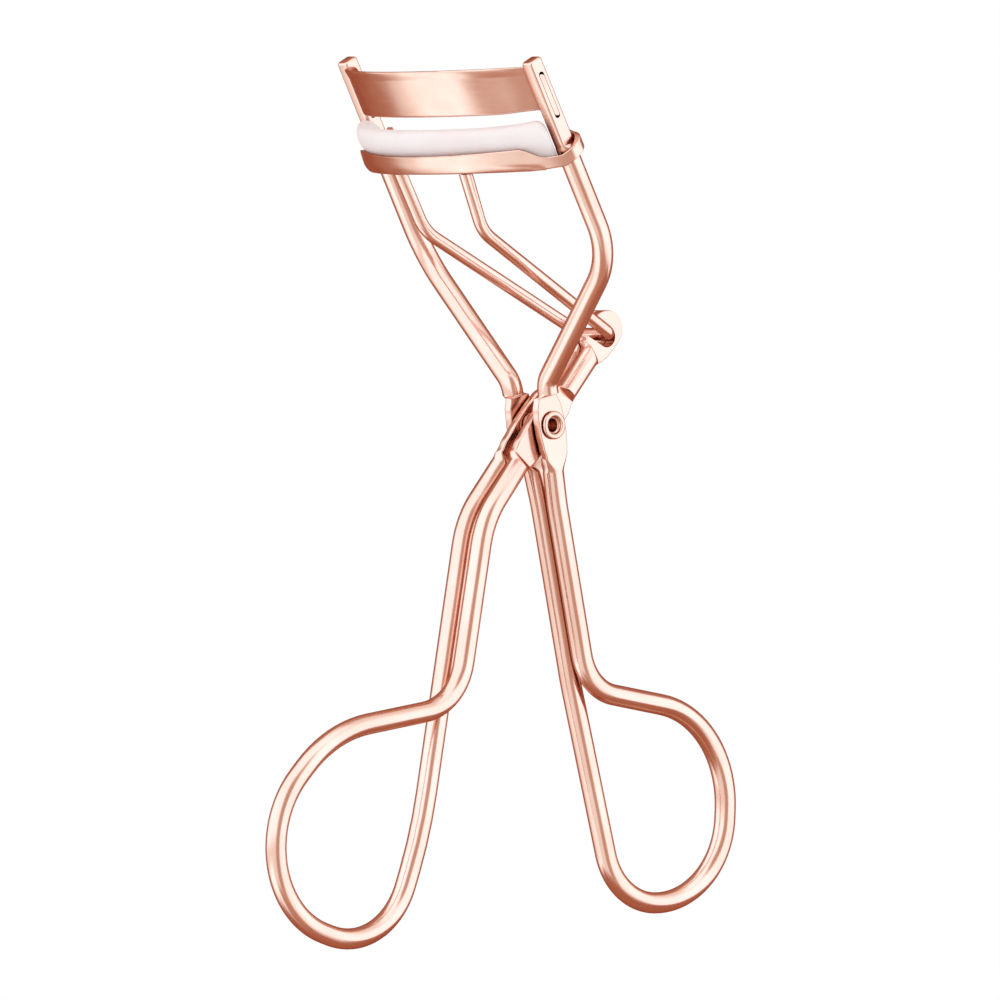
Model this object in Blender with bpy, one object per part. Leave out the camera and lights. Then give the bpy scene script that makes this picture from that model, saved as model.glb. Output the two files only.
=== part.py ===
"""Eyelash curler: two bent-wire handles crossing at a riveted pivot, a fixed curved upper bar, and a lower bar
with a silicone pad that slides up two rails when the handles are squeezed.

Lengths below are in millimetres. X runs along the pivot and across the jaw, -Y is the convex front of the jaw,
+Z is up. Pieces are drawn round the pivot. The frame's origin is the centre of the fixed finger loop.
"""

import math

import bmesh
import bpy
from mathutils import Matrix, Vector

MM = 0.001

# Wire stock
WIRE_R = 1.25
YOKE_R = 0.72
WIRE_SIDES = 16
BEND_STEP = math.radians(13)

# Rails and arms of the frame
RAIL_X = 16.7
RAIL_LEAN = math.radians(27.8)
RAIL_TOP_Z = 43.6
RAIL_FOOT_Z = 30.9
RAIL_HALF_DEPTH = 1.05
RAIL_HALF_WIDTH = 0.85
KNEE_Y = -2.86
KNEE_Z = 19.9
KNEE_BEND = 10.0

# Pivot ears. The marks are (distance along the wire from the pivot, half width)
FRAME_ELBOW = (3.2, -1.08, 5.0)
FRAME_ELBOW_BEND = 3.0
FRAME_EAR_TOP = (3.2, 3.75)
EAR_HALF_WIDTH = 2.05
EAR_HALF_THICK = 0.55
FRAME_EAR_X = 2.5
LEVER_EAR_X = 1.2
HANDLE_LEAN = math.radians(12.3)
LEVER_LEAN = math.radians(41)
FRAME_EAR_MARKS = ((3.45, 1.5), (2.1, 1.92), (0.8, EAR_HALF_WIDTH), (-0.8, EAR_HALF_WIDTH), (-2.4, 1.9),
                   (-4.7, 1.42))
LEVER_EAR_MARKS = ((4.8, 1.5), (3.2, 1.92), (1.2, EAR_HALF_WIDTH), (-1.2, EAR_HALF_WIDTH), (-3.6, 1.9),
                   (-5.9, 1.45))
RIVET_HOLE_R = 1.35
RIVET_SHANK_R = 1.25
RIVET_BORE_R = 1.02
RIVET_FLANGE_R = 1.67
RIVET_FLANGE_THICK = 0.35

# Handles: strands' distances from the mid plane, and the corners of the wire from the ear on the -X side, round
# the finger loop, to the strand on the +X side, as (share of that distance, y, z, bend radius)
FRAME_STRAND_X = 1.45
LEVER_STRAND_X = 1.7
FRAME_STRAND_TOP = (2.1, -5.2)
FRAME_SETTLE = (1, 2.02, -9.28, 20.0)
FRAME_LOOP = [(-1, 6.6, -30.3, 60.0), (-0.7, 13.2, -56.2, 7.5), (-0.3, 29.1, -56.2, 10.4),
              (0.6, 29.1, -34.5, 12.5), (1, 6.75, -31.1, 6.0)]
LEVER_STRAND_TOP = (1.6, -6.4)
LEVER_ELBOW = (1, -9.35, -11.0, 12.0)
LEVER_LOOP = [(-1, -18.7, -60.4, 12.0), (-0.3, -40.95, -60.4, 11.7), (0.6, -40.95, -37.9, 13.2),
              (1, -13.5, -32.8, 5.5)]

# Lever hooks and the yoke's cross bar
HOOK_X = 1.1
HOOK_HALF_THICK = 0.5
HOOK_HALF_WIDTH = 2.25
HOOK_CENTRE = 14.95
LEVER_ARM_X = 1.5
LEVER_ARM_SPAN = (11.1, 5.1)
CROSS_BAR_ALONG = 14.1
CROSS_BAR_ASIDE = -0.35
NOTCH_DIP = math.radians(27.5)
NOTCH_HALF_WIDTH = 1.28
NOTCH_DEPTH = 0.75
NOTCH_RISE = -0.1
NOTCH_LENGTH = 8.0

# Jaw bars. RISE is the height lost for each millimetre that a bar bows forward of the rails
BOW = 8.7
RISE = 0.07
UPPER_BOTTOM_Z = 36.8
UPPER_HEIGHT = 6.1
UPPER_THICK = 0.8
UPPER_CHORD = 15.6
TAB_THICK = 0.7
TAB_HEIGHT = 5.0
SLOT_WIDTH = 1.1
SLOT_HEIGHT = 5.6
LOWER_BOTTOM_Z = 30.2
WALL_THICK = 0.7
WALL_HEIGHT = 2.9
WALL_OFFSET = 1.7
WALL_FLARE = 0.35
WALL_BEND = 1.2
WALL_TUCK = 0.75
SHOULDER_START = 13.6
SHOULDER_END = 16.6
BAND_HEIGHT = 1.75
EYELET_R = 1.9
EYELET_SLOPE = 0.72
EYELET_END = math.radians(128)
CHANNEL_HALF_LENGTH = 14.6
PAD_TOP = 5.8
PAD_CROWN = 1.62
PAD_HALF_LENGTH = 14.9
PAD_END_RISE = 0.4
YOKE_LEG_X = 5.9
YOKE_KNEE = Vector((5.2, -12.7, 22.8))
YOKE_HOOK_X = 2.65
STAKE_R = 0.5
STAKE_HOLE_R = 0.62
STAKE_SET_FORWARD = 0.1
YOKE_KNEE_BEND = 5.0
YOKE_HOOK_BEND = 1.1
FIT_GAP = 0.15

# The pivot, measured from the centre of the fixed finger loop
PIVOT = Vector((0, -20.3, 44.6))

UP_RAIL = Vector((0, -math.sin(RAIL_LEAN), math.cos(RAIL_LEAN)))
MIRROR_X = Vector((-1, 1, 1))
ROUND = (WIRE_R, WIRE_R, WIRE_R)


def clear_scene():
    for obj in list(bpy.data.objects):
        bpy.data.objects.remove(obj, do_unlink=True)


def material(name, colour, metallic, roughness):
    made = bpy.data.materials.new(name)
    made.use_nodes = True
    shader = made.node_tree.nodes["Principled BSDF"]
    shader.inputs["Base Color"].default_value = (*colour, 1)
    shader.inputs["Metallic"].default_value = metallic
    shader.inputs["Roughness"].default_value = roughness
    return made


def add_axis(name, parent=None, at=(0, 0, 0)):
    empty = bpy.data.objects.new(name, None)
    bpy.context.collection.objects.link(empty)
    empty.parent = parent
    empty.location = Vector(at) * MM
    return empty


def add_object(name, mesh_data, parent, finish=None):
    """A named object from a bmesh whose points are in millimetres round the pivot."""
    bmesh.ops.recalc_face_normals(mesh_data, faces=mesh_data.faces)
    bmesh.ops.scale(mesh_data, vec=(MM, MM, MM), verts=mesh_data.verts)
    mesh = bpy.data.meshes.new(name)
    mesh_data.to_mesh(mesh)
    mesh_data.free()
    obj = bpy.data.objects.new(name, mesh)
    bpy.context.collection.objects.link(obj)
    obj.parent = parent
    if finish:
        mesh.materials.append(finish)
        mesh.shade_smooth()
        mesh.set_sharp_from_angle(angle=math.radians(35))
    return obj


def as_cutter(obj):
    obj.hide_render = True
    obj.display_type = "WIRE"
    return obj


def combine(obj, other, operation):
    modifier = obj.modifiers.new(f"{operation.lower()} {other.name}", "BOOLEAN")
    modifier.operation = operation
    modifier.solver = "EXACT"
    modifier.object = as_cutter(other)


def cylinder(radius, start, end, sides=24):
    """A closed round bar between two points."""
    made = bmesh.new()
    line = Vector(end) - Vector(start)
    turn = line.to_track_quat("Z", "Y").to_matrix().to_4x4()
    place = Matrix.Translation((Vector(start) + Vector(end)) / 2) @ turn
    bmesh.ops.create_cone(
        made, cap_ends=True, segments=sides, radius1=radius, radius2=radius, depth=line.length, matrix=place
    )
    return made


def skin(rings):
    """A tube of quads over rings that all have the same number of points."""
    made = bmesh.new()
    rows = [[made.verts.new(point) for point in ring] for ring in rings]
    for row, following in zip(rows, rows[1:]):
        for i in range(len(row)):
            j = (i + 1) % len(row)
            made.faces.new((row[i], row[j], following[j], following[i]))
    made.faces.new(rows[0])
    made.faces.new(rows[-1][::-1])
    return made


def wire_ring(centre, heading, section, thin_axis=Vector((1, 0, 0)), sides=WIRE_SIDES):
    """One cross-section of a wire: a rounded rectangle, which a full corner radius makes a circle."""
    half_width, half_thick, corner = section
    thin = (thin_axis - heading * thin_axis.dot(heading)).normalized()
    wide = heading.cross(thin)
    ring = []
    for i in range(sides):
        angle = 2 * math.pi * (i + 0.5) / sides
        across = math.copysign(half_width - corner, math.cos(angle)) + corner * math.cos(angle)
        through = math.copysign(half_thick - corner, math.sin(angle)) + corner * math.sin(angle)
        ring.append(centre + wide * across + thin * through)
    return ring


def bent_path(corners):
    """Places and headings along a wire bent round corners. Each corner is a point and its bend radius."""
    path = []
    last = len(corners) - 1
    for i, (point, radius) in enumerate(corners):
        arriving = (point - corners[i - 1][0]).normalized() if i > 0 else None
        leaving = (corners[i + 1][0] - point).normalized() if i < last else None
        if arriving is None or leaving is None:
            path.append((point, leaving or arriving))
            continue
        turn = arriving.angle(leaving)
        setback = radius * math.tan(turn / 2)
        inward = (leaving - arriving).normalized()
        centre = point + inward * (radius / math.cos(turn / 2))
        axis = arriving.cross(leaving).normalized()
        spoke = point - arriving * setback - centre
        steps = max(2, math.ceil(turn / BEND_STEP))
        for k in range(steps + 1):
            turned = Matrix.Rotation(turn * k / steps, 3, axis)
            path.append((centre + turned @ spoke, turned @ arriving))
    return path


def rail_point(z):
    """The rail's centre line on the +X side, at a height above the pivot."""
    return Vector((RAIL_X, KNEE_Y - (z - KNEE_Z) * math.tan(RAIL_LEAN), z))


def side_line(lean, along, x):
    """A point on a straight line through the pivot, leaning back from the vertical by an angle."""
    return Vector((x, along * math.sin(lean), along * math.cos(lean)))


def other_side(stations):
    return [(centre * MIRROR_X, heading * MIRROR_X, section) for centre, heading, section in stations]


def carried_on(stations):
    """The same stations on the other side, in the order that carries the wire on to its second end."""
    return [(centre, -heading, section) for centre, heading, section in reversed(other_side(stations))]


def round_stations(corners):
    return [(place, heading, ROUND) for place, heading in bent_path(corners)]


def ear_stations(lean, x, marks):
    """Flattened stretch of wire along a line through the pivot. Each mark is (distance, half width)."""
    heading = -side_line(lean, 1, 0)
    corner = EAR_HALF_THICK * 0.5
    return [(side_line(lean, along, x), heading, (half, EAR_HALF_THICK, corner)) for along, half in marks]


def wire_object(name, stations, parent, finish):
    return add_object(name, skin([wire_ring(*station) for station in stations]), parent, finish)


def handle_stations(strand_x, top, bend, loop):
    """Both strands and the finger loop, from the ear on one side to the ear on the other."""
    share, y, z, radius = bend
    middle = [(-share, y, z, radius), *loop, bend]
    corners = [(top * MIRROR_X, 0)]
    corners += [(Vector((share * strand_x, y, z)), radius) for share, y, z, radius in middle]
    corners += [(top, 0)]
    return round_stations(corners)


def make_frame_wire(parent, finish):
    """Rails, arms, ears, handle strands and the fixed finger loop, bent from one length of wire."""
    down_rail = -UP_RAIL
    corner = RAIL_HALF_WIDTH * 0.4
    side = []
    for down, share in ((0, 0.45), (0.15, 0.75), (0.5, 0.97), (0.9, 1), (RAIL_TOP_Z - RAIL_FOOT_Z, 1)):
        section = (RAIL_HALF_DEPTH * share, RAIL_HALF_WIDTH * share, corner * share)
        side.append((rail_point(RAIL_TOP_Z - down), down_rail, section))
    knee = Vector((RAIL_X, KNEE_Y, KNEE_Z))
    ear_x, ear_along = FRAME_EAR_TOP
    arm = [(rail_point(RAIL_FOOT_Z - 0.25), 0), (knee, KNEE_BEND), (Vector(FRAME_ELBOW), FRAME_ELBOW_BEND)]
    arm += [(side_line(-HANDLE_LEAN, ear_along, ear_x), 0)]
    side += round_stations(arm)
    side += ear_stations(-HANDLE_LEAN, FRAME_EAR_X, FRAME_EAR_MARKS)
    top_x, top_along = FRAME_STRAND_TOP
    strand_top = side_line(-HANDLE_LEAN, top_along, top_x)
    handle = handle_stations(FRAME_STRAND_X, strand_top, FRAME_SETTLE, FRAME_LOOP)
    whole = other_side(side) + handle + carried_on(other_side(side))
    frame = wire_object("frame_wire", whole, parent, finish)

    combine(frame, add_object("cut_frame_pivot", pivot_hole(), parent), "DIFFERENCE")
    slot_middle = rail_point(UPPER_BOTTOM_Z) + UP_RAIL * (UPPER_HEIGHT / 2)
    for sign in (-1, 1):
        slot = bmesh.new()
        place = Matrix.Translation(slot_middle * Vector((sign, 1, 1))) @ Matrix.Rotation(RAIL_LEAN, 4, "X")
        place = place @ Matrix.Diagonal((4, SLOT_WIDTH, SLOT_HEIGHT, 1))
        bmesh.ops.create_cube(slot, size=1, matrix=place)
        combine(frame, add_object(f"cut_slot_{'left' if sign < 0 else 'right'}", slot, parent), "DIFFERENCE")
    return frame


def make_lever_wire(parent, finish):
    """Hook plates, ears, handle strands and the moving finger loop, bent from one length of wire."""
    heading = -side_line(LEVER_LEAN, 1, 0)
    hook_marks = [(HOOK_CENTRE + HOOK_HALF_WIDTH * math.sin(turn), HOOK_HALF_WIDTH * math.cos(turn))
                  for turn in (math.radians(a) for a in (80, 62, 45, 28, 12))]
    hook_marks += [(HOOK_CENTRE - 0.4, HOOK_HALF_WIDTH), (12.3, 2.15), (11.5, 1.55)]
    side = [(side_line(LEVER_LEAN, along, HOOK_X), heading, (half, HOOK_HALF_THICK, HOOK_HALF_THICK * 0.4))
            for along, half in hook_marks]
    side += [(side_line(LEVER_LEAN, along, LEVER_ARM_X), heading, ROUND) for along in LEVER_ARM_SPAN]
    side += ear_stations(LEVER_LEAN, LEVER_EAR_X, LEVER_EAR_MARKS)
    top_x, top_along = LEVER_STRAND_TOP
    strand_top = side_line(LEVER_LEAN, top_along, top_x)
    handle = handle_stations(LEVER_STRAND_X, strand_top, LEVER_ELBOW, LEVER_LOOP)
    whole = other_side(side) + handle + carried_on(other_side(side))
    lever = wire_object("lever_wire", whole, parent, finish)

    combine(lever, add_object("cut_lever_pivot", pivot_hole(), parent), "DIFFERENCE")
    into = Vector((0, math.cos(NOTCH_DIP), -math.sin(NOTCH_DIP)))
    across = Vector((0, math.sin(NOTCH_DIP), math.cos(NOTCH_DIP)))
    closed_end = cross_bar_centre() + into * NOTCH_DEPTH + across * NOTCH_RISE
    outline = [closed_end - into * NOTCH_LENGTH + across * NOTCH_HALF_WIDTH]
    for k in range(9):
        turn = math.pi * (0.5 - k / 8)
        spoke = into * math.cos(turn) + across * math.sin(turn)
        outline.append(closed_end + spoke * NOTCH_HALF_WIDTH)
    outline.append(closed_end - into * NOTCH_LENGTH - across * NOTCH_HALF_WIDTH)
    reach = Vector((5, 0, 0))
    notch = skin([[p - reach for p in outline], [p + reach for p in outline]])
    combine(lever, add_object("cut_notch", notch, parent), "DIFFERENCE")
    return lever


def pivot_hole():
    return cylinder(RIVET_HOLE_R, (-6, 0, 0), (6, 0, 0))


def cross_bar_centre():
    """Middle of the yoke's cross bar, in the lever's notches."""
    aside = Vector((0, math.cos(LEVER_LEAN), -math.sin(LEVER_LEAN)))
    return side_line(LEVER_LEAN, CROSS_BAR_ALONG, 0) + aside * CROSS_BAR_ASIDE


def make_rivet(name, sign, parent, finish):
    """Tubular rivet: a flange outside the frame's ear, a shank through both ears, a rolled flange inside."""
    outer = FRAME_EAR_X + EAR_HALF_THICK
    inner = LEVER_EAR_X - EAR_HALF_THICK
    profile = [
        (outer + FIT_GAP, RIVET_SHANK_R), (outer + FIT_GAP, RIVET_FLANGE_R),
        (outer + FIT_GAP + RIVET_FLANGE_THICK * 0.6, RIVET_FLANGE_R),
        (outer + FIT_GAP + RIVET_FLANGE_THICK, RIVET_FLANGE_R - 0.15),
        (outer + FIT_GAP + RIVET_FLANGE_THICK, RIVET_BORE_R + 0.12),
        (outer + FIT_GAP + RIVET_FLANGE_THICK * 0.6, RIVET_BORE_R),
        (inner - FIT_GAP - RIVET_FLANGE_THICK, RIVET_BORE_R),
        (inner - FIT_GAP - RIVET_FLANGE_THICK, RIVET_FLANGE_R - 0.1),
        (inner - FIT_GAP, RIVET_FLANGE_R - 0.1), (inner - FIT_GAP, RIVET_SHANK_R),
    ]
    steps = 24
    made = bmesh.new()
    rows = []
    for i in range(steps):
        turn = 2 * math.pi * i / steps
        rows.append([made.verts.new((sign * x, r * math.cos(turn), r * math.sin(turn))) for x, r in profile])
    for i, row in enumerate(rows):
        following = rows[(i + 1) % steps]
        for k in range(len(profile)):
            m = (k + 1) % len(profile)
            made.faces.new((row[k], row[m], following[m], following[k]))
    return add_object(name, made, parent, finish)


def jaw_point(x, bow, bottom_z, up, lift=0):
    """A point of the jaw: across, forward of the rails, and up along them."""
    z = bottom_z - RISE * bow + lift
    return Vector((x, rail_point(z).y - bow, z)) + UP_RAIL * up


def eyelet_lift(bow):
    """Extra height of an eyelet, which climbs towards the back of its rail."""
    return max(EYELET_R - bow, 0) * (EYELET_SLOPE - RISE)


def arc_bow(radius, x):
    """How far forward of the rails an arc with the jaw's full bow lies at x."""
    return math.sqrt(radius * radius - x * x) - radius + BOW


def strip_path(places):
    """Adds the outward normal, in plan, to each (x, bow) of a strip."""
    path = []
    for i, (x, bow) in enumerate(places):
        before = places[max(i - 1, 0)]
        after = places[min(i + 1, len(places) - 1)]
        run = Vector((after[0] - before[0], after[1] - before[1])).normalized()
        path.append((x, bow, -run.y, run.x))
    return path


def make_upper_bar(parent, finish):
    """Curved plate whose end tabs pass through the rails' slots."""
    radius = (UPPER_CHORD ** 2 + BOW ** 2) / (2 * BOW)
    steps = 28
    end_turn = math.asin(UPPER_CHORD / radius)
    arc = [radius * math.sin(end_turn * (2 * i / steps - 1)) for i in range(1, steps)]
    places = [(x, arc_bow(radius, x)) for x in arc]
    tab_end = RAIL_X + RAIL_HALF_WIDTH
    tab_start = RAIL_X - RAIL_HALF_WIDTH - 0.35
    places = [(-tab_end, 0), (-tab_start, 0)] + places + [(tab_start, 0), (tab_end, 0)]
    rings = []
    for i, (x, bow, out_x, out_bow) in enumerate(strip_path(places)):
        tab = i < 2 or i > len(places) - 3
        half = (TAB_THICK if tab else UPPER_THICK) / 2
        trim = (UPPER_HEIGHT - TAB_HEIGHT) / 2 if tab else 0
        if tab:
            out_x, out_bow = 0, 1
        edge = half * 0.45
        profile = [(-half, trim + edge), (-half + edge, trim), (half - edge, trim), (half, trim + edge),
                   (half, UPPER_HEIGHT - trim - edge), (half - edge, UPPER_HEIGHT - trim),
                   (-half + edge, UPPER_HEIGHT - trim), (-half, UPPER_HEIGHT - trim - edge)]
        rings.append([jaw_point(x + out_x * off, bow + out_bow * off, UPPER_BOTTOM_Z, up) for off, up in profile])
    return add_object("upper_bar", skin(rings), parent, finish)


def lower_radius():
    """Radius of the channel's centre line, for which the front wall runs smoothly into the eyelets."""
    gap = WALL_OFFSET - EYELET_R
    return (RAIL_X ** 2 + BOW ** 2 - gap ** 2) / (2 * (BOW + gap))


def wall_profile(height, shaped):
    """Section of the front wall as (outward, up): a flat band at shaped 0, a tucked foot and flared rim at 1."""
    half = WALL_THICK / 2

    def lean(up):
        tuck = WALL_TUCK * max(1 - up / WALL_BEND, 0) ** 2
        return shaped * (WALL_FLARE * max(up / WALL_HEIGHT - 0.4, 0) - tuck)

    ups = [0, 0.3, 0.7, 1.2, height - 0.2]
    outer = [(half + lean(up), up) for up in ups]
    outer[0] = (half - 0.2 + lean(0), 0)
    inner = [(lean(up) - half, up) for up in ups]
    rim = lean(height)
    return inner[::-1] + outer + [(half - 0.15 + rim, height), (-half + 0.15 + rim, height)]


def make_lower_bar(parent, finish):
    """Channel with a front wall that narrows at its ends and wraps round each rail."""
    radius = lower_radius()
    centre_bow = BOW - radius
    meet = math.atan2(RAIL_X, -centre_bow)
    steps = 36
    places = []
    for i in range(steps + 1):
        turn = meet * (2 * i / steps - 1)
        reach = radius + WALL_OFFSET
        places.append((reach * math.sin(turn), centre_bow + reach * math.cos(turn)))
    curl_steps = 11
    curl = []
    for k in range(1, curl_steps + 1):
        turn = meet + (math.pi / 2 + EYELET_END - meet) * k / curl_steps
        curl.append((RAIL_X + EYELET_R * math.sin(turn), EYELET_R * math.cos(turn)))
    places = [(-x, bow) for x, bow in reversed(curl)] + places + curl
    rings = []
    for x, bow, out_x, out_bow in strip_path(places):
        narrow = min(max((abs(x) - SHOULDER_START) / (SHOULDER_END - SHOULDER_START), 0), 1)
        narrow = narrow * narrow * (3 - 2 * narrow) if bow > 0 else 1
        height = WALL_HEIGHT + (BAND_HEIGHT - WALL_HEIGHT) * narrow
        lift = eyelet_lift(bow)
        ring = []
        for off, up in wall_profile(height, 1 - narrow):
            ring.append(jaw_point(x + out_x * off, bow + out_bow * off, LOWER_BOTTOM_Z, up, lift))
        rings.append(ring)
    wall = add_object("lower_bar", skin(rings), parent, finish)

    trough = []
    end_turn = math.asin(CHANNEL_HALF_LENGTH / radius)
    inside = WALL_OFFSET - WALL_THICK / 2
    outside = inside + WALL_THICK
    tucked = inside - WALL_TUCK / 2
    profile = [(tucked, 0.02), (tucked, WALL_THICK), (-inside, WALL_THICK), (-inside, WALL_HEIGHT - 0.1),
               (-inside - 0.1, WALL_HEIGHT), (-outside + 0.1, WALL_HEIGHT), (-outside, WALL_HEIGHT - 0.1),
               (-outside, 0.7), (-outside + 0.2, 0.3), (-outside + 0.7, 0.02)]
    trough_steps = 24
    for i in range(trough_steps + 1):
        turn = end_turn * (2 * i / trough_steps - 1)
        across = Vector((math.sin(turn), math.cos(turn)))
        ring = []
        for off, up in profile:
            reach = radius + off
            ring.append(jaw_point(across.x * reach, centre_bow + across.y * reach, LOWER_BOTTOM_Z, up))
        trough.append(ring)
    combine(wall, add_object("join_channel", skin(trough), parent), "UNION")
    for sign in (-1, 1):
        seat = yoke_leg_top(sign)
        hole = cylinder(STAKE_HOLE_R, seat - UP_RAIL * 1.5, seat + UP_RAIL * 2.5, 16)
        combine(wall, add_object(f"cut_stake_{'left' if sign < 0 else 'right'}", hole, parent), "DIFFERENCE")
    return wall


def yoke_leg_top(sign):
    """Where a yoke leg meets the underside of the channel's floor."""
    bow = arc_bow(lower_radius(), YOKE_LEG_X) + STAKE_SET_FORWARD
    return jaw_point(sign * YOKE_LEG_X, bow, LOWER_BOTTOM_Z, 0)


def make_yoke(parent, finish):
    """Thin U-shaped wire with staked upper ends."""
    seat = yoke_leg_top(1)
    hook = cross_bar_centre() + Vector((YOKE_HOOK_X, 0, 0))
    top = seat - UP_RAIL * FIT_GAP
    half = [(top, 0), (YOKE_KNEE, YOKE_KNEE_BEND), (hook, YOKE_HOOK_BEND)]
    corners = half + [(p * MIRROR_X, r) for p, r in reversed(half)]
    thin_axis = Vector((0, math.sin(NOTCH_DIP), math.cos(NOTCH_DIP)))
    legs = (YOKE_R, YOKE_R, YOKE_R)
    stake = (STAKE_R, STAKE_R, STAKE_R)
    stations = [(place, heading, legs) for place, heading in bent_path(corners)][1:-1]
    stake_end = seat + UP_RAIL * (WALL_THICK - 0.05)
    from_floor = Vector((0, RISE, -1)).normalized()
    shoulder = (YOKE_R, YOKE_R / math.cos(RAIL_LEAN), YOKE_R)
    start = [(stake_end, from_floor, stake), (top, from_floor, stake), (top, from_floor, shoulder)]
    stations = start + stations + carried_on(start)
    rings = [wire_ring(place, heading, section, thin_axis, 12) for place, heading, section in stations]
    return add_object("yoke_wire", skin(rings), parent, finish)


def make_pad(parent, finish):
    """Soft strip: a base in the channel, a wider rounded crown above it, and rounded ends."""
    radius = lower_radius()
    base = WALL_OFFSET - WALL_THICK / 2 - FIT_GAP
    floor = WALL_THICK + FIT_GAP
    shoulder = WALL_HEIGHT + FIT_GAP
    profile = [(base, floor), (base, shoulder - 0.1), (PAD_CROWN, shoulder + 0.15), (PAD_CROWN, PAD_TOP - 1.15),
               (PAD_CROWN * 0.86, PAD_TOP - 0.45), (PAD_CROWN * 0.5, PAD_TOP - 0.08)]
    profile += [(-off, up) for off, up in reversed(profile)]
    middle = (floor + PAD_TOP) / 2
    steps = 28
    end_turn = math.asin(PAD_HALF_LENGTH / radius)
    rings = []
    for i in range(-2, steps + 3):
        inside = min(max(i, 0), steps)
        past = max(-i, i - steps, 0)
        shrink = (1, 0.86, 0.5)[past]
        turn = end_turn * (2 * inside / steps - 1)
        turn += math.copysign((0, 0.03, 0.045)[past], turn)
        across = Vector((math.sin(turn), math.cos(turn)))
        rise = PAD_END_RISE * (turn / end_turn) ** 4 * shrink
        ring = []
        for off, up in profile:
            reach = radius + off * shrink
            height = middle + (up - middle) * shrink
            height += rise * max(up - shoulder, 0) / (PAD_TOP - shoulder)
            ring.append(jaw_point(across.x * reach, BOW - radius + across.y * reach, LOWER_BOTTOM_Z, height))
        rings.append(ring)
    return add_object("silicone_pad", skin(rings), parent, finish)


clear_scene()
rose_gold = material("rose_gold_plated_steel", (0.78, 0.44, 0.33), 1.0, 0.16)
silicone = material("pale_silicone", (0.91, 0.84, 0.84), 0.0, 0.45)

origin = add_axis("finger_loop_centre")
frame_axis = add_axis("frame", origin, PIVOT)
lever_axis = add_axis("lever_pivot", origin, PIVOT)
jaw_axis = add_axis("jaw_slide", origin, PIVOT)

make_frame_wire(frame_axis, rose_gold)
make_upper_bar(frame_axis, rose_gold)
make_rivet("pivot_rivet_front", 1, frame_axis, rose_gold)
make_rivet("pivot_rivet_rear", -1, frame_axis, rose_gold)
make_lever_wire(lever_axis, rose_gold)
make_lower_bar(jaw_axis, rose_gold)
make_pad(jaw_axis, silicone)
make_yoke(jaw_axis, rose_gold)
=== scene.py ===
"""Looks of an eyelash curler: bent, coined and plated wire, two curved jaw bars and a soft silicone pad.

The pieces' sizes are in millimetres round the pivot, and place() turns them into the frame's metres. The
camera and the studio are in metres.
"""

import math

import bmesh
import bpy
from mathutils import Matrix, Vector


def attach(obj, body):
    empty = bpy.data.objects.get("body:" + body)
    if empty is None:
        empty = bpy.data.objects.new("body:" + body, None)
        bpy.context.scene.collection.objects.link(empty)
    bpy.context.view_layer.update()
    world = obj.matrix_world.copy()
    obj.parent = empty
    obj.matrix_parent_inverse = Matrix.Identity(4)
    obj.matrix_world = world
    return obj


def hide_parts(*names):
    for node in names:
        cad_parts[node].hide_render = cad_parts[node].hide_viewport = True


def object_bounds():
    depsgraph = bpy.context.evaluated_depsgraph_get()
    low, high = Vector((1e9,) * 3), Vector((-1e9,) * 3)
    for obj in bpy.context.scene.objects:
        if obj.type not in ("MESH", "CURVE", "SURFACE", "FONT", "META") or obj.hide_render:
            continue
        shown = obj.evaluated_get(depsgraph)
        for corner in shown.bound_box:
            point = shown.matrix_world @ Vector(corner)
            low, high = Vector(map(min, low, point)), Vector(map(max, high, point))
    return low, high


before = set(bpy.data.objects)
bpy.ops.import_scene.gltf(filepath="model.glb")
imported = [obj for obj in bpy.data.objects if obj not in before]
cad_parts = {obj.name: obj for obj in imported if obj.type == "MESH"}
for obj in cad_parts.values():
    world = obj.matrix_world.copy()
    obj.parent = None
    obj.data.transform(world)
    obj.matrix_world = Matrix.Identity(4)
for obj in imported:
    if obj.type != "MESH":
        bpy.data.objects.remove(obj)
cad_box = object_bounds()


# Camera: level with the curler's middle and off its right front corner. It has no perspective, as with a
# very long lens, so upright edges stay parallel and the rails are seen one behind the other across the jaw.
VIEW_AZIMUTH = math.radians(49.5)
VIEW_DISTANCE = 0.6
VIEW_WIDTH = 0.11765
VIEW_NEAR = 0.01
VIEW_FAR = 10
VIEW_AIM = Vector((-0.00275, -0.0235, 0.0358))
towards_camera = Vector((math.sin(VIEW_AZIMUTH), -math.cos(VIEW_AZIMUTH), 0))
right_of_camera = Vector((math.cos(VIEW_AZIMUTH), math.sin(VIEW_AZIMUTH), 0))


def put(name, data):
    """A new object in the scene, with its data."""
    made = bpy.data.objects.new(name, data)
    bpy.context.scene.collection.objects.link(made)
    return made


def aim(obj, heading):
    """Turns a camera or a lamp to face along a heading."""
    obj.rotation_mode = "QUATERNION"
    obj.rotation_quaternion = heading.to_track_quat("-Z", "Y")


lens = bpy.data.cameras.new("long_lens")
lens.type = "ORTHO"
lens.ortho_scale = VIEW_WIDTH
lens.clip_start = VIEW_NEAR
lens.clip_end = VIEW_FAR
camera = put("camera", lens)
camera.location = VIEW_AIM + towards_camera * VIEW_DISTANCE
aim(camera, -towards_camera)
bpy.context.scene.camera = camera
bpy.context.scene.view_settings.view_transform = "Standard"


# Studio: a white room with a soft lamp on each side and a floor below the reach of the swinging loop.
# Polished plating mirrors what stands round it, so screens of paper and cloth and a board, which only
# reflections see, draw the light and brown streaks along the wires.
def linear(code):
    """An sRGB hex code as an opaque linear colour."""
    parts = [int(code[i:i + 2], 16) / 255 for i in (1, 3, 5)]
    return (*(p / 12.92 if p <= 0.04045 else ((p + 0.055) / 1.055) ** 2.4 for p in parts), 1.0)


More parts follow.
